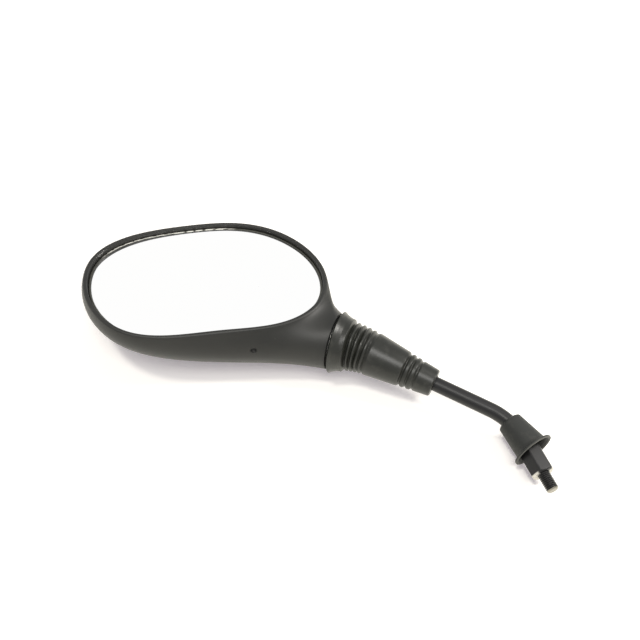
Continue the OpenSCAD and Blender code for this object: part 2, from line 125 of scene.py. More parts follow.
TO_HEAD = np.array([NECK, np.cross([0, 0, 1.0], NECK), [0, 0, 1.0]]).T
HEAD = (BALL, NECK, np.cross([0, 0, 1.0], NECK), np.array([0, 0, 1.0]))
ON_STEM = axes(BALL, STEM, BASE)
ON_FOOT = axes(np.zeros(3), -BASE, -STEM)


# ---------------------------------------------------------------- meshes
def mesh_object(name, verts, faces, uvs=None):
    """Mesh object from world points in mm; uvs is one (u, v) a corner."""
    me = bpy.data.meshes.new(name)
    me.from_pydata((np.asarray(verts) * MM).tolist(), [], faces)
    me.update()
    if uvs is not None:
        layer = me.uv_layers.new(name="flat")
        layer.data.foreach_set("uv", np.asarray(uvs, dtype=np.float32).ravel())
    me.polygons.foreach_set("use_smooth", [True] * len(me.polygons))
    ob = bpy.data.objects.new(name, me)
    bpy.context.scene.collection.objects.link(ob)
    return ob


def grid(name, pts, v, flip=False):
    """Quad sheet over pts (rows, columns, 3), its last column joined to the first.

    Its UV is the share of a turn and one v for each row.
    """
    rows, cols = pts.shape[:2]
    i, j = np.meshgrid(np.arange(rows - 1), np.arange(cols), indexing="ij")
    k = (j + 1) % cols
    quad = np.stack([i * cols + j, i * cols + k, (i + 1) * cols + k, (i + 1) * cols + j], -1)
    corner = np.stack([np.stack([i, j], -1), np.stack([i, j + 1], -1),
                       np.stack([i + 1, j + 1], -1), np.stack([i + 1, j], -1)], -2)
    quad, corner = quad.reshape(-1, 4), corner.reshape(-1, 4, 2)
    if flip:
        quad, corner = quad[:, ::-1], corner[:, ::-1]
    uvs = np.stack([corner[..., 1] / cols, np.asarray(v)[corner[..., 0]]], -1)
    return mesh_object(name, pts.reshape(-1, 3), quad.tolist(), uvs)


def filleted(points, step):
    """Polyline (z, r[, fillet]) with each corner rounded and long runs divided.

    A corner becomes a quadratic arc that starts and ends fillet * tan(turn / 2) from it.
    """
    pts = [np.array(p[:2], float) for p in points]
    rad = [p[2] if len(p) > 2 else 0.0 for p in points]
    out = [pts[0]]
    for a, b, c, r in zip(pts[:-2], pts[1:-1], pts[2:], rad[1:-1]):
        u, v = a - b, c - b
        lu, lv = np.linalg.norm(u), np.linalg.norm(v)
        u, v = u / lu, v / lv
        half = math.acos(max(-1.0, min(1.0, float(u @ v)))) / 2
        cut = min(r / max(math.tan(half), 1e-3), 0.46 * lu, 0.46 * lv)
        p, q = b + u * cut, b + v * cut
        for t in np.linspace(0, 1, 7):
            out.append((1 - t) ** 2 * p + 2 * t * (1 - t) * b + t * t * q)
    out.append(pts[-1])
    full = [out[0]]
    for a, b in zip(out[:-1], out[1:]):
        n = max(1, int(np.linalg.norm(b - a) / step))
        full += [a + (b - a) * t for t in np.linspace(0, 1, n + 1)[1:]]
    return np.array(full)


def lathe(name, fr, profile, cols):
    """Surface of revolution about the frame's Z from a profile of (z, r) rows."""
    a = np.arange(cols) * 2 * np.pi / cols
    z, r = profile[:, 0], profile[:, 1]
    loc = np.stack([r[:, None] * np.cos(a), r[:, None] * np.sin(a),
                    np.repeat(z[:, None], cols, 1)], -1)
    return grid(name, place(fr, loc), z / V_MM)


# ---------------------------------------------------------------- housing
HULL = np.array([[1, .255], [.661, .827], [.24, 1.045], [-.216, .955], [-.708, .791],
                 [-1.029, .391], [-1, -.336], [-.69, -.927], [-.287, -1.036], [.187, -.9],
                 [.684, -.836], [1.012, -.427]])


def rim_point(u, inset):
    """Closed uniform cubic spline through HULL, from the rim's centre, drawn in by inset."""
    n = len(HULL)
    x = np.asarray(u) * n
    i = np.floor(x).astype(int)
    f = x - i
    w = [(1 - f) ** 3, 3 * f ** 3 - 6 * f * f + 4, -3 * f ** 3 + 3 * f * f + 3 * f + 1, f ** 3]
    p = sum(wk[..., None] * HULL[(i + k + n - 1) % n] for k, wk in enumerate(w)) / 6
    p = p * [RIM_L / 2, RIM_W / 2]
    return p * (1 - np.asarray(inset) / np.linalg.norm(p, axis=-1))[..., None]


def to_head(p):
    """Rim-centred plan points as the head's x and y."""
    c, s = math.cos(math.radians(RIM_TURN)), math.sin(math.radians(RIM_TURN))
    return np.stack([-RIM_REACH + p[..., 0] * c - p[..., 1] * s,
                     RIM_SIDE + p[..., 0] * s + p[..., 1] * c], -1)


def between(pair, far):
    """From a pair's first value at far = 0 to its second at far = 1."""
    return pair[0] + (pair[1] - pair[0]) * far


def form(u, t, inset=0.0):
    """Housing skin in the head's frame: for each point u of the rim a cubic from the rim
    (t = 0) to the neck's circle (t = 1). Its handles lean out and down under the rim and lie
    back along the neck, longer on the far side (far = 1) than beside the neck (far = 0)."""
    p = to_head(rim_point(u, inset))
    run = -SEAM_X - p[..., 0]
    x, y = run - (RIM_REACH - SEAM_X), p[..., 1] - RIM_SIDE
    reach = np.hypot(x, y)
    x, y = x / reach, y / reach
    far = (1 + x) / 2
    zero, neck_r = 0 * far, NECK_R - inset
    start = np.stack([p[..., 0], p[..., 1], zero + RIM_RISE], -1)
    end = np.stack([zero - SEAM_X, neck_r * y, -neck_r * x], -1)
    lean = between(RIM_LEAN, far)
    first = start + np.stack([-lean * x, lean * y, -between(RIM_DROP, far)], -1)
    last = end + np.stack([-between(NECK_BACK, far) * run, NECK_SPREAD * y + FLOOR_SHIFT * far,
                           -between(NECK_SINK, far)], -1)
    q = np.asarray(t)[..., None]
    return ((1 - q) ** 3 * start + 3 * (1 - q) ** 2 * q * first
            + 3 * (1 - q) * q * q * last + q ** 3 * end)


def rim_level(u, inset, depth):
    """Point of the outline drawn in by inset, at a depth below the rim's plane."""
    p = to_head(rim_point(u, inset))
    return np.concatenate([p, np.broadcast_to(RIM_RISE - depth, p.shape[:-1])[..., None]], -1)


# Rings of points round the drain, from its centre: share of its radius, depth in mm
DRAIN_RINGS = [(0.0, 2.6), (0.55, 2.6), (0.93, 2.5), (0.985, 0.22), (1.0, 0.0), (1.07, 0.0)]


def pierce(u, t, where):
    """Bend the (rows, columns) grids u, t so that rings of their points become the drain's
    circles (DRAIN_RINGS); four more rings ease back to where they were. Returns the depth
    that each point is pushed in, in mm, as well."""
    e = 1e-4
    uh, th = where
    at = [place(HEAD, form(np.array(a), np.array(b)))[[0, 2]] for a, b in
          ((uh, th), (uh + e, th), (uh, th + e))]
    jac = np.array([at[1] - at[0], at[2] - at[0]]).T / e
    push = np.zeros_like(u)
    j0 = int(round(uh * u.shape[1]))
    i0 = int(np.argmin(np.abs(t[:, j0] - th)))
    u, t = u.copy(), t.copy()
    round_hole = len(DRAIN_RINGS) - 1
    reach = round_hole + 4
    for i in range(i0 - reach, i0 + reach + 1):
        for j in range(j0 - reach, j0 + reach + 1):
            ring = max(abs(i - i0), abs(j - j0))
            if ring == 0:
                u[i, j], t[i, j], push[i, j] = uh, th, DRAIN_RINGS[0][1]
                continue
            way = jac @ [u[i, j] - uh, t[i, j] - th]
            way = way / np.linalg.norm(way)
            r, deep = DRAIN_RINGS[ring] if ring <= round_hole else (1.12, 0.0)
            du, dt = np.linalg.solve(jac, way * DRAIN_R * r)
            keep = max(0.0, (ring - round_hole) / (reach - round_hole)) ** 1.3
            u[i, j] += (1 - keep) * (uh + du - u[i, j])
            t[i, j] += (1 - keep) * (th + dt - t[i, j])
            push[i, j] = deep
    return u, t, push


def drain_place():
    """The (u, t) where the drain's axis, along the world's Y, leaves the near wall."""
    c, s = math.cos(math.radians(RIM_TURN)), math.sin(math.radians(RIM_TURN))
    mark = place(HEAD, np.array([-RIM_REACH + DRAIN_ALONG * c, RIM_SIDE + DRAIN_ALONG * s,
                                 RIM_RISE - DRAIN_DEPTH]))[[0, 2]]
    u, t = np.meshgrid(np.linspace(0, 1, 801)[:-1], np.linspace(0.02, 0.6, 400))
    p = place(HEAD, form(u, t))
    off = np.hypot(p[..., 0] - mark[0], p[..., 2] - mark[1]) + np.where(p[..., 1] > 130, 99, 0)
    i, j = np.unravel_index(off.argmin(), off.shape)
    return u[i, j], t[i, j]


def housing():
    """One sheet: shelf, recess wall, rounded lip, outer skin, neck edge, end face, bore."""
    cols, rows = 400, 150
    u = np.arange(cols) / cols
    out_r, in_r = 1.1, 0.6
    lines = [rim_level(u, i, GLASS_FLOOR) for i in (LIP_W + 5, LIP_W + 0.3)]
    lines += [rim_level(u, LIP_W + 0.05 * k, GLASS_FLOOR - 1.3 * (4 - k)) for k in (4, 3, 2, 1)]
    for a in np.linspace(0, 90, 7):
        c, s = math.cos(math.radians(a)), math.sin(math.radians(a))
        lines.append(rim_level(u, LIP_W - in_r * (1 - c), in_r * (1 - s)))
    # Where the skin first reaches the depth of the lip's outer round, for each column
    tt = np.linspace(0.0005, 0.6, 1200)[:, None]
    skin = form(u[None, :], tt)
    deep = RIM_RISE - skin[..., 2]
    first = np.argmax(deep >= out_r, axis=0)
    t1 = tt[first, 0]
    edge = form(u, t1)
    for a in np.linspace(90, 0, 9):
        c, s = math.cos(math.radians(a)), math.sin(math.radians(a))
        lines.append(rim_level(u, out_r * (1 - c), out_r * (1 - s))
                     + (edge - rim_level(u, 0, out_r)) * (1 - s))
    k = np.linspace(0, 1, rows)[1:-1, None] ** 1.25
    uu, tt, push = pierce(np.repeat(u[None], rows - 2, 0), t1 + (1 - t1) * k, drain_place())
    lines += list(form(uu, tt) + push[..., None] * (np.array([0, 1, 0]) @ TO_HEAD))
    end = form(u, np.ones(cols))
    yz = end[:, 1:] / np.linalg.norm(end[:, 1:], axis=1)[:, None]
    for back, r in ((0.25, NECK_R), (0.07, NECK_R - 0.07), (0, NECK_R - 0.25), (0, 18.3),
                    (0.4, 17.9), (0.9, 17.8), (0.9, 12.8), (14, 12.8)):
        ring = np.empty((cols, 3))
        ring[:, 0] = -SEAM_X - back
        ring[:, 1:] = yz * r
        lines.append(ring)
    pts = np.stack(lines)
    return grid("housing_skin", place(HEAD, pts), np.linspace(0, 1, len(lines)), flip=True)


def glass():
    """Convex disc: the face follows a sphere, z = -(x^2 + y^2) / 2 R, with a ground edge."""
    cols = 400
    u = np.arange(cols) / cols
    inset, ground = LIP_W + GLASS_GAP, 1.45
    lines = []

    def line(p, drop):
        z = RIM_RISE - GLASS_RECESS - (p ** 2).sum(-1) / 2 / GLASS_R - drop
        lines.append(np.concatenate([to_head(p), z[:, None]], -1))

    for share in [0.0, *np.linspace(0.06, 0.985, 24)]:
        line(rim_point(u, inset + ground) * share, 0)
    for i, drop in ((ground, 0), (ground - 0.05, 0.02), (0.12, 0.12), (0, 0.3), (0, GLASS_T)):
        line(rim_point(u, inset + i), drop)
    rows = len(lines)
    v = np.linspace(0, 0.5, rows)
    v[-5:] = (0.9, 0.93, 0.97, 0.98, 1.0)  # the ground edge, for mirror_silver
    return grid("glass_disc", place(HEAD, np.stack(lines)), v)


# ---------------------------------------------------------------- boot
def boot_axis(z):
    """Centre and frame at a distance z from the ball: the neck's axis, a parabola with its
    corner at the ball between z = -7 and 7, then the stem's axis."""
    w = 7.0
    q = np.clip((z + w) / 2 / w, 0, 1)[:, None]
    zz = z[:, None]
    mid = (1 - q) ** 2 * (-w * NECK) + q * q * (w * STEM)
    at = np.where(zz < -w, zz * NECK, np.where(zz > w, zz * STEM, mid))
    tan = (1 - q) * NECK + q * STEM
    tan = tan / np.linalg.norm(tan, axis=1)[:, None]
    side = np.cross([0, 0, 1.0], tan)
    side /= np.linalg.norm(side, axis=1)[:, None]
    return BALL + at, side, np.cross(tan, side)


def boot_sheet(name, profile, cols=224):
    """The profile's rows stand on the bent axis."""
    a = np.arange(cols) * 2 * np.pi / cols
    at, side, up = boot_axis(profile[:, 0])
    r = profile[:, 1][:, None, None]
    pts = at[:, None] + r * (np.cos(a)[:, None] * side[:, None] + np.sin(a)[:, None] * up[:, None])
    return grid(name, pts, profile[:, 0] / V_MM)


RIB_START, PITCH, RIBS = -10.6, 3.45, 4


def groove(k):
    """Distance of groove k's bottom from the ball."""
    return RIB_START + (k + 0.5) * PITCH


def boot():
    """Two sheets that meet in the third groove, and where that is; each rib is three of the
    profile's points: a groove's bottom and the two edges of a flat top."""
    ribs = []
    for k in range(RIBS + 1):
        ribs.append((groove(k), 15.5 - 0.27 * k, 0.25))
        if k < RIBS:
            top = 17.2 - 0.45 * k
            ribs += [(groove(k) + 0.40 * PITCH, top, 0.22), (groove(k) + 0.60 * PITCH, top, 0.22)]
    third = 2
    meet = 3 * third
    back = -SEAM_X + SEAM_GAP
    wide = [(back + 4, 18.1), (back + 0.4, 18.1, 0.2), (back, 18.5, 0.2), (back, 19.7, 0.3),
            (back + 1.3, 22.0, 0.16), (back + 3.4, 20.65, 2.5), (-14.0, 19.35, 5),
            (-11.9, 18.85, 2), (-10.9, 18.8, 0.25), (RIB_START, 18.5, 0.2)] + ribs[:meet + 1]
    narrow = ribs[meet:] + [
        (6.35, 15.1, 0.3), (6.9, 15.5, 0.3), (30.4, 12.55, 0.4), (31.0, 12.1, 0.3),
        (31.7, 11.0, 0.5), (32.3, 11.0, 0.5), (33.2, 12.05, 0.9), (35.0, 11.9, 0.9),
        (36.0, 10.6, 0.5), (36.6, 10.6, 0.5), (37.6, 11.5, 0.9), (39.5, 11.3, 0.9),
        (40.6, 10.1, 0.5), (41.2, 10.1, 0.4), (42.2, 10.8, 0.35), (52.9, 9.6, 0.3),
        (53.6, 8.9, 0.3), (53.6, 5.9, 0.3), (52.9, 5.35, 0.2), (50.0, 5.35)]
    a = boot_sheet("boot_wide", filleted(wide, step=0.6))
    b = boot_sheet("boot_narrow", filleted(narrow, step=0.6))
    return a, b, groove(third)


# ---------------------------------------------------------------- stem and foot
def rod():
    """Tube along the stem, round the bend, down into the hexagon."""
    cols, hidden_end, sunk = 96, 44.0, 0.5
    rows = []
    arc_at = BALL + STEM * (STEM_RUN - REACH)
    ahead, side = ON_STEM[1], ON_STEM[2]
    for s in np.linspace(hidden_end, STEM_RUN - REACH, 40):
        rows.append((BALL + STEM * s, STEM, s))
    for a in np.linspace(0, BEND, 41)[1:]:
        pos = arc_at + BEND_R * (ahead * (1 - math.cos(a)) + STEM * math.sin(a))
        rows.append((pos, STEM * math.cos(a) + ahead * math.sin(a), STEM_RUN + BEND_R * a))
    start, length = rows[-1][0], BASE_RUN - REACH - HEX_L + sunk
    for s in np.linspace(0, length, 6)[1:]:
        rows.append((start + BASE * s, BASE, 140 + s))
    ang = np.arange(cols) * 2 * np.pi / cols
    pts = []
    for pos, tan, _ in rows:
        out = np.cross(side, tan)
        pts.append(pos + ROD_R * (np.cos(ang)[:, None] * out + np.sin(ang)[:, None] * side))
    return grid("rod_tube", np.stack(pts), np.array([r[2] for r in rows]) / V_MM)


def hexagon():
    """Hexagonal bar, r = half flats / cos of the angle from a flat's middle, with its edges
    cut back a little and both ends' corners turned off."""
    cols = 240
    a = np.arange(cols) * 2 * np.pi / cols
    half = HEX_FLATS / 2
    dist = ((a - math.radians(HEX_TURN)) % (np.pi / 3)) - np.pi / 6
    flat = half / np.cos(dist)
    corner = half / math.cos(math.pi / 6)
    flat = np.minimum(flat, corner - 0.22)
    rows, heights = [], []

    def row(z, limit):
        r = np.minimum(flat, limit)
        rows.append(np.stack([r * np.cos(a), r * np.sin(a), np.full(cols, z)], -1))
        heights.append(z)

    low = corner - 1.4
    row(0, STUD_R + 0.1)
    row(0, low - 0.6)
    row(0, low - 0.1)
    row(0.06, low)
    for k in np.linspace(0, 1, 8):
        row(0.1 + 1.3 * k, low + 0.05 + 1.35 * k)
    for z in np.linspace(1.6, HEX_L - 1.3, 20):
        row(z, corner)
    for k in np.linspace(0, 1, 6):
        row(HEX_L - 1.2 + 1.1 * k, corner - 0.1 - 1.2 * k)
    row(HEX_L - 0.02, low)
    row(HEX_L, low - 0.5)
    row(HEX_L, ROD_R - 0.1)
    return grid("hex_bar", place(ON_FOOT, np.stack(rows)), np.array(heights) / V_MM)


def stud():
    """Threaded pin: radius follows a rounded triangle wave of turn / 2 pi + z / pitch."""
    cols, pitch, depth = 120, 1.25, 0.62
    a = np.arange(cols) * 2 * np.pi / cols
    z = np.linspace(0.4, -STUD_L, 260)
    ph = (z[:, None] / pitch + a[None, :] / 2 / np.pi) % 1
    tri = np.abs(2 * ph - 1)
    wave = np.clip((tri - 0.12) / 0.7, 0, 1)
    fade = np.clip((0.2 - z) / 1.2, 0, 1)[:, None]
    r = STUD_R - 0.02 - depth * (1 - wave) * fade
    r = np.minimum(r, STUD_R - 0.95 + (z[:, None] + STUD_L) * 1.0)
    pts = np.stack([r * np.cos(a), r * np.sin(a), np.repeat(z[:, None], cols, 1)], -1)
    tip = [np.stack([k * np.cos(a), k * np.sin(a), np.full(cols, -STUD_L)], -1)
           for k in (3.0, 2.2, 1.0, 0.01)]
    pts = np.concatenate([pts, np.stack(tip)])
    v = np.concatenate([z, [-STUD_L] * 4]) / V_MM
    return grid("stud_thread", place(ON_FOOT, pts), v, flip=True)


# Share of a turn, round the foot's axis, at which its surface looks up at the sky
HEX_TOP = math.atan2(float(ON_FOOT[2][2]), float(ON_FOOT[1][2])) / 2 / math.pi % 1


def bell_frame():
    """The bell's axis: from the bend's centre line, leaning back towards the stem."""
    u, lean = math.radians(BELL_TURN), math.radians(BELL_LEAN)
    at, x, y, z = ON_FOOT
    org = BEND_R * (1 - math.cos(u)) * x + (BASE_RUN - REACH + BEND_R * math.sin(u)) * z
    return org, x * math.cos(lean) - z * math.sin(lean), y, z * math.cos(lean) + x * math.sin(lean)


def bell():
    """Rubber bell: outside from the bore's lip to the flange, then the dished mouth."""
    f = -BELL_L
    outline = [(1.0, 5.05), (1.7, 5.25, 0.3), (2.0, 5.9, 0.3), (2.0, 7.1, 0.6), (1.2, 8.3, 1.1),
               (f + 4.2, 10.9, 1.5), (f + 2.5, 11.5, 0.8), (f + 2.0, 12.9, 0.5),
               (f + 1.7, 13.9, 0.3), (f + 1.3, 14.15, 0.3), (f + 0.35, 14.15, 0.3),
               (f, 13.6, 0.25), (f + 0.2, 12.9, 0.4), (f + 1.8, 11.2, 1.2), (f + 3.6, 10.2, 1.0),
               (f + 8.6, 9.45, 0.5), (f + 9.8, 7.3, 0.5), (-2.0, 7.1, 0.5), (-2.0, 5.05)]
    return lathe("bell_skin", bell_frame(), filleted(outline, step=0.8), cols=192)


# ---------------------------------------------------------------- materials
class Sock:
    """A socket with arithmetic: a + b, a * 2, 1 - a."""

    def __init__(self, g, out):
        self.g, self.out = g, out

    def __add__(self, o):
        return self.g.math("ADD", self, o)

    __radd__ = __add__

    def __mul__(self, o):
        return self.g.math("MULTIPLY", self, o)

    __rmul__ = __mul__

    def __sub__(self, o):
        return self.g.math("SUBTRACT", self, o)

    def __rsub__(self, o):
        return self.g.math("SUBTRACT", o, self)


class Graph:
    """A material's node tree with one principled shader."""

    def __init__(self, name):
        self.mat = bpy.data.materials.new(name)
        self.mat.use_nodes = True
        self.tree = self.mat.node_tree
        self.tree.nodes.clear()
        self.end = self.tree.nodes.new("ShaderNodeOutputMaterial")
        self.bsdf = self.tree.nodes.new("ShaderNodeBsdfPrincipled")
        self.tree.links.new(self.bsdf.outputs[0], self.end.inputs["Surface"])

    def put(self, socket, value):
        """Link a Sock to a socket, or set a plain value on it."""
        if isinstance(value, Sock):
            self.tree.links.new(value.out, socket)
        else:
            socket.default_value = value

    def node(self, kind, outlet=0, props={}, **ins):
        """Any node: inputs by name with _ for a space, or i0, i1 by number."""
        n = self.tree.nodes.new(kind)
        for k, v in props.items():
            setattr(n, k, v)
        for k, v in ins.items():
            key = int(k[1:]) if k[0] == "i" and k[1:].isdigit() else k.replace("_", " ")
            self.put(n.inputs[key], v)
        return Sock(self, n.outputs[outlet])

    def math(self, op, a, b=0.0, c=0.0):
        """One Math node."""
        return self.node("ShaderNodeMath", props={"operation": op}, i0=a, i1=b, i2=c)

    def ramp(self, x, lo, hi):
        """0 below lo, 1 above hi, smooth between."""
        return self.node("ShaderNodeMapRange", props={"interpolation_type": "SMOOTHSTEP"},
                         i0=x, i1=lo, i2=hi, i3=0.0, i4=1.0)

    def where(self):
        """Object coordinates, in metres."""
        return self.node("ShaderNodeTexCoord", "Object")

    def uv(self, axis):
        """X: share of a turn round the piece. Y: the v that its grid was given."""
        both = self.node("ShaderNodeTexCoord", "UV")
        return self.node("ShaderNodeSeparateXYZ", axis, i0=both)

    def noise(self, size_mm, detail=3.0, rough=0.55, stretch=None):
        """Noise of 0 to 1 in the object's space, with blobs of about size_mm."""
        at = self.where()
        if stretch is not None:
            at = self.node("ShaderNodeMapping", Vector=at, Scale=stretch)
        return self.node("ShaderNodeTexNoise", 0, Vector=at, Scale=1000.0 / size_mm,
                         Detail=detail, Roughness=rough)

    def cells(self, size_mm):
        """Distance to the nearest of scattered points, about size_mm apart."""
        return self.node("ShaderNodeTexVoronoi", "Distance", Vector=self.where(),
                         Scale=1000.0 / size_mm)

    def mix(self, fac, a, b):
        """Colour a where fac is 0, b where it is 1."""
        return self.node("ShaderNodeMix", 2, {"data_type": "RGBA"}, i0=fac, i6=a, i7=b)

    def bump(self, height, distance_mm, strength=1.0, normal=None):
        """Normal raised by height, on top of an earlier normal."""
        n = {"Height": height, "Distance": distance_mm * MM, "Strength": strength}
        if normal is not None:
            n["Normal"] = normal
        return self.node("ShaderNodeBump", 0, **n)

    def set(self, **ins):
        """Inputs of the principled shader, by name with _ for a space."""
        for k, v in ins.items():
            self.put(self.bsdf.inputs[k.replace("_", " ")], v)


def rgb(r, g=None, b=None):
    """Linear colour with alpha 1; one value alone is a grey."""
    return (r, r if g is None else g, r if b is None else b, 1.0)


def housing_plastic():
    """Satin moulded plastic: eroded grain, faint flow clouds, dust and hairline scuffs."""
    g = Graph("housing_plastic")
    cloud = g.noise(38, 4)
    grain = g.noise(0.55, 2, 0.6)
    dust = g.ramp(g.cells(5.5), 0.055, 0.02)
    fleck = g.ramp(g.noise(9, 2), 0.56, 0.66)
    scuff = g.ramp(g.noise(3.0, 5, 0.62, stretch=(0.25, 1.6, 1.0)), 0.66, 0.74) * fleck
    base = g.mix(g.ramp(cloud, 0.35, 0.68), rgb(0.011, 0.011, 0.0096), rgb(0.017, 0.017, 0.0148))
    base = g.mix(dust * fleck * 0.55, base, rgb(0.16, 0.15, 0.13))
    base = g.mix(scuff * 0.16, base, rgb(0.12, 0.12, 0.11))
    rough = 0.46 + (cloud - 0.5) * 0.12 + (grain - 0.5) * 0.12 + scuff * 0.1
    nrm = g.bump(grain, 0.02, 0.55)
    nrm = g.bump(g.noise(11, 2), 0.05, 0.35, nrm)
    g.set(Base_Color=base, Roughness=rough, Normal=nrm, Specular_IOR_Level=0.36)
    return g.mat


def rubber(name, tint, rough0, lip=None, spec=0.34):
    """Satin rubber: mould grain, bloom in patches, lint; paler within about a millimetre of a
    lip's height.
    """
    g = Graph(name)
    cloud = g.noise(14, 4)
    grain = g.noise(0.5, 3, 0.6)
    bloom = g.ramp(g.noise(5.5, 5, 0.6), 0.48, 0.72)
    lint = g.ramp(g.cells(3.6), 0.05, 0.02) * g.ramp(g.noise(8, 2), 0.5, 0.62)
    base = g.mix(g.ramp(cloud, 0.3, 0.7), rgb(*[c * 0.82 for c in tint]), rgb(*tint))
    base = g.mix(bloom * 0.16, base, rgb(0.085, 0.082, 0.072))
    base = g.mix(lint * 0.5, base, rgb(0.2, 0.19, 0.17))
    if lip is not None:
        # colour made paler all round within about a millimetre of the lip's height
        paler = g.ramp(g.uv("Y") * V_MM, lip + 0.9, lip + 0.3)
        base = g.mix(paler * 0.8, base, rgb(0.10, 0.098, 0.088))
    rough = rough0 + (cloud - 0.5) * 0.16 + (grain - 0.5) * 0.12 + bloom * 0.05
    nrm = g.bump(grain, 0.03, 0.6)
    nrm = g.bump(g.noise(4, 2), 0.05, 0.4, nrm)
    g.set(Base_Color=base, Roughness=rough, Normal=nrm, Specular_IOR_Level=spec)
    return g.mat


def black_paint(name, rough0, bare=False):
    """Stoved black coat with orange peel; bare shows steel on the foot's lower side corners."""
    g = Graph(name)
    peel = g.noise(1.6, 2)
    cloud = g.noise(12, 3)
    chip = g.ramp(g.cells(4.4), 0.06, 0.035) * g.ramp(g.noise(10, 2), 0.52, 0.6)
    base = g.mix(chip * 0.4, rgb(0.0065, 0.0065, 0.0068), rgb(0.06, 0.056, 0.05))
    rough = rough0 + (cloud - 0.5) * 0.1 + chip * 0.2
    nrm = g.bump(peel, 0.02, 0.5)
    metallic, coat = 0.0, 0.1
    if bare:
        low = g.uv("Y") * V_MM
        ragged = (g.noise(1.1, 4) - 0.5) * 0.5
        away = g.math("ABSOLUTE", g.math("WRAP", g.uv("X") - HEX_TOP, 0.5, -0.5))
        edge = g.ramp(low + ragged, 1.5, 1.1) * g.ramp(away + ragged * 0.06, 0.10, 0.14)
        brushed = g.noise(0.35, 3, 0.6)
        base = g.mix(edge, base, g.mix(brushed, rgb(0.42, 0.40, 0.36), rgb(0.62, 0.60, 0.55)))
        rough = rough + edge * (0.16 + (brushed - 0.5) * 0.2)
        metallic = edge
        coat = 0.1 * (1 - edge)
    g.set(Base_Color=base, Roughness=rough, Metallic=metallic, Normal=nrm, Coat_Weight=coat,
          Coat_Roughness=0.3, Specular_IOR_Level=0.26)
    return g.mat


def stud_steel():
    """Blackened thread, worn lighter in patches and bright on the turned tip."""
    g = Graph("stud_steel")
    low = g.uv("Y") * V_MM
    tip = g.ramp(low + (g.noise(1.0, 3) - 0.5) * 0.35, -10.85, -11.15)
    paler = g.ramp(g.noise(1.5, 4), 0.55, 0.75) * 0.35
    fine = g.noise(0.25, 3)
    bright = g.mix(fine, rgb(0.15, 0.14, 0.115), rgb(0.34, 0.32, 0.27))
    base = g.mix(tip, g.mix(paler, rgb(0.016, 0.016, 0.016), rgb(0.10, 0.095, 0.09)), bright)
    g.set(Base_Color=base, Metallic=0.55 + tip * 0.4, Roughness=0.42 + (fine - 0.5) * 0.2,
          Normal=g.bump(fine, 0.02, 0.5))
    return g.mat


def mirror_silver():
    """Silvered face with faint wipe haze and specks; the ground edge is dark grey, with a painted
    glint in scallops along one stretch of the rim.
    """
    g = Graph("mirror_silver")
    turn = g.uv("X")
    edge = g.ramp(g.uv("Y"), 0.89, 0.905)
    # painted glint: the stretch of the rim's turn where the ground edge is coloured near white
    painted_glint_sector = g.ramp(turn, 0.165, 0.19) * g.ramp(turn, 0.41, 0.37)
    haze = g.ramp(g.noise(22, 4), 0.45, 0.8)
    speck = g.ramp(g.cells(9.0), 0.03, 0.015) * g.ramp(g.noise(14, 2), 0.55, 0.62)
    scallop = g.node("ShaderNodeTexWave", 1, {"wave_type": "BANDS", "bands_direction": "X"},
                     Vector=g.node("ShaderNodeTexCoord", "UV"), Scale=17.0,
                     Distortion=9.0, Detail=3.0)
    # the ground edge's colour: dark grey, near white in the scallops of the painted glint
    ground = g.mix(g.ramp(scallop, 0.02, 0.3) * painted_glint_sector, rgb(0.10, 0.10, 0.088),
                   rgb(1.0, 0.99, 0.92))
    base = g.mix(edge, g.mix(speck * 0.5, rgb(0.99, 0.99, 0.985), rgb(0.6)), ground)
    rough = 0.015 + haze * 0.02 + edge * (0.42 + scallop * 0.2)
    g.set(Base_Color=base, Metallic=1 - edge, Roughness=rough,
          Normal=g.bump(scallop * edge, 0.05, 0.5))
    return g.mat


def metal(name, tint, rough0):
    """Machined or plated metal: fine turning marks, clouded plating."""
    g = Graph(name)
    fine = g.noise(0.4, 3)
    cloud = g.noise(7, 3)
    base = g.mix(cloud, rgb(*[c * 0.86 for c in tint]), rgb(*tint))
    g.set(Base_Color=base, Metallic=1.0, Normal=g.bump(fine, 0.02, 0.4),
          Roughness=rough0 + (fine - 0.5) * 0.2 + (cloud - 0.5) * 0.15)
    return g.mat


def soft_plastic(name, tint, rough0):
    """Plain moulded plastic or foam: fine grain and slight clouds."""
    g = Graph(name)
    fine = g.noise(0.6, 3)
    cloud = g.noise(9, 3)
    base = g.mix(cloud, rgb(*[c * 0.85 for c in tint]), rgb(*tint))
    g.set(Base_Color=base, Roughness=rough0 + (fine - 0.5) * 0.16, Normal=g.bump(fine, 0.03, 0.5))
    return g.mat


def wear(ob, mat):
    """Give an object one material."""
    ob.data.materials.clear()
    ob.data.materials.append(mat)


# ---------------------------------------------------------------- build
skin = housing()
wear(skin, housing_plastic())
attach(skin, "head")
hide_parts("mirror_housing")

disc = glass()
wear(disc, mirror_silver())
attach(disc, "head")
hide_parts("mirror_glass")

boot_rubber = rubber("boot_rubber", (0.0115, 0.012, 0.009), 0.33, spec=0.38)
wide, narrow, meet = boot()
for ob in (wide, narrow):
    wear(ob, boot_rubber)
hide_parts("ribbed_boot")


def metres(p):
    """A point in mm as a tuple in metres."""
    return tuple(float(c) * MM for c in p)


metres(BALL + NECK * meet)
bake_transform(wide)
metres(BALL + NECK * meet)
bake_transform(narrow)

tube = rod()
wear(tube, black_paint("rod_paint", 0.40))
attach(tube, "stem")
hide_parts("stem_rod")

bar = hexagon()
wear(bar, black_paint("hex_paint", 0.42, bare=True))
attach(bar, "stem")
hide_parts("hex_foot")

pin = stud()
wear(pin, stud_steel())
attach(pin, "stem")

cap = bell()
wear(cap, rubber("bell_rubber", (0.015, 0.016, 0.0145), 0.6, lip=-BELL_L))
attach(cap, "stem")
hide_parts("bell_boot")

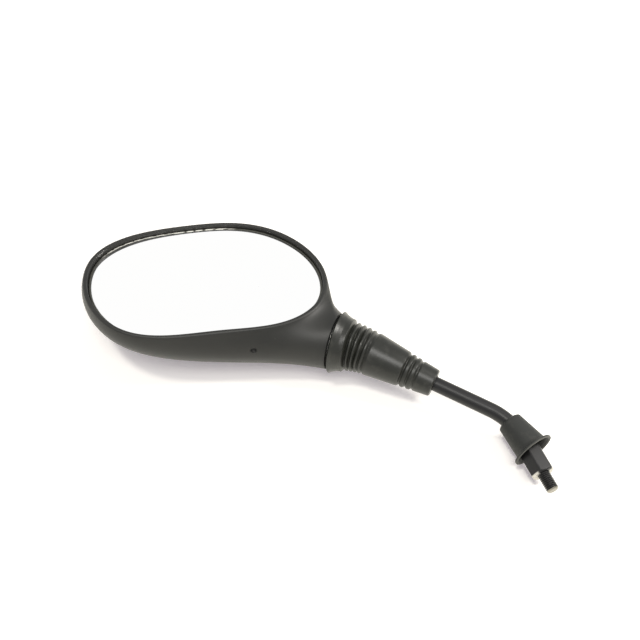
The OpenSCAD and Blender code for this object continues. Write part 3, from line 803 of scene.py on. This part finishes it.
zinc = metal("zinc_steel", (0.62, 0.62, 0.60), 0.34)
cast = metal("cast_alloy", (0.55, 0.55, 0.53), 0.5)
nylon = soft_plastic("nylon", (0.72, 0.70, 0.62), 0.42)
inner = soft_plastic("inner_plastic", (0.03, 0.03, 0.03), 0.5)
foam = soft_plastic("foam_pad", (0.25, 0.25, 0.23), 0.85)
gasket = rubber("gasket_rubber", (0.02, 0.02, 0.019), 0.6)
dark = soft_plastic("dark_plastic", (0.012, 0.012, 0.011), 0.6)
for name, mat in {"adhesive_pad": foam, "glass_carrier": inner, "carrier_screws": zinc,
                  "socket": cast, "socket_screws": zinc, "neck_gasket": gasket,
                  "clamp_nut": cast, "thrust_ring": zinc, "disc_springs": zinc,
                  "ball_cup_rear": nylon, "ball_cup_front": nylon, "collar_ring": dark,
                  "end_bush": nylon, "stem_ball": zinc}.items():
    wear(NODES[name], mat)


# ---------------------------------------------------------------- table, light, camera
def lamp(name, kind, energy, tint, at, towards):
    """Lamp of a kind at a point, its beam along -towards."""
    data = bpy.data.lights.new(name, kind)
    data.energy = energy
    data.color = tint
    ob = bpy.data.objects.new(name, data)
    bpy.context.scene.collection.objects.link(ob)
    z = np.array(towards, float)
    z /= np.linalg.norm(z)
    x = np.cross([0.0, 1.0, 0.0], z)
    x /= np.linalg.norm(x)
    y = np.cross(z, x)
    m = [[x[i], y[i], z[i], at[i]] for i in range(3)] + [[0, 0, 0, 1]]
    ob.matrix_world = [list(c) for c in np.array(m, float).T.tolist()]
    return data


def panel(name, size, at, target, energy, tint):
    """Rectangular soft light aimed at a point."""
    data = lamp(name, "AREA", energy, tint, at, np.array(at) - np.array(target))
    data.shape = "RECTANGLE"
    data.size, data.size_y = size


def window(name, towards, spread, energy, tint):
    """Even light from far away, as wide as spread in degrees."""
    lamp(name, "SUN", energy, tint, (0.0, 0.0, 1.0), towards).angle = math.radians(spread)


table = mesh_object("table", [(x * TABLE_HALF, y * TABLE_HALF, TABLE_Z)
                              for x, y in ((-1, -1), (1, -1), (1, 1), (-1, 1))], [(0, 1, 2, 3)])
g = Graph("table_white")
seen, shiny = (g.node("ShaderNodeLightPath", k) for k in ("Is Camera Ray", "Is Glossy Ray"))
lift = g.mix(seen, g.mix(shiny, rgb(0.0), rgb(0.6, 0.58, 0.52)), rgb(0.29, 0.265, 0.285))
g.set(Base_Color=rgb(0.92, 0.915, 0.87), Roughness=0.6, Specular_IOR_Level=0.0,
      Emission_Color=lift, Emission_Strength=1.0)
wear(table, g.mat)
table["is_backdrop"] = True

# White where it is seen, mirrored or looked through, and plain light on the object
world = bpy.data.worlds.new("studio")
bpy.context.scene.world = world
world.use_nodes = True
wt = world.node_tree
wt.nodes.clear()
path = wt.nodes.new("ShaderNodeLightPath")
ray = path.outputs["Is Camera Ray"]
for kind in ("Is Glossy Ray", "Is Transmission Ray"):
    either = wt.nodes.new("ShaderNodeMath")
    either.operation = "MAXIMUM"
    wt.links.new(ray, either.inputs[0])
    wt.links.new(path.outputs[kind], either.inputs[1])
    ray = either.outputs[0]
level = wt.nodes.new("ShaderNodeMapRange")
wt.links.new(ray, level.inputs[0])
level.inputs["To Min"].default_value = 0.30
level.inputs["To Max"].default_value = 1.0
back = wt.nodes.new("ShaderNodeBackground")
back.inputs["Color"].default_value = (1.0, 1.0, 1.0, 1.0)
wt.links.new(level.outputs[0], back.inputs["Strength"])
out = wt.nodes.new("ShaderNodeOutputWorld")
wt.links.new(back.outputs[0], out.inputs["Surface"])

window("left", (-0.256, -0.13, 0.96), 8.0, 1.0, (1.0, 0.975, 0.90))
window("front", (0.05, -0.42, 0.90), 24.0, 1.15, (1.0, 0.985, 0.96))
panel("near", (0.13, 0.13), (0.28, 0.11, 0.42), (0.0, 0.0, 0.0), 2.4, (1.0, 0.97, 0.92))

cam = bpy.data.cameras.new("camera")
cam.sensor_width = SENSOR
cam.lens = FOCAL_PX / IMAGE_PX * SENSOR
eye = bpy.data.objects.new("camera", cam)
eye.location = EYE
eye.rotation_euler = (math.radians(EYE_TILT), 0.0, 0.0)
bpy.context.scene.collection.objects.link(eye)
bpy.context.scene.camera = eye
bpy.context.scene.view_settings.view_transform = "Standard"

SIZE["end"] = plain(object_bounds())
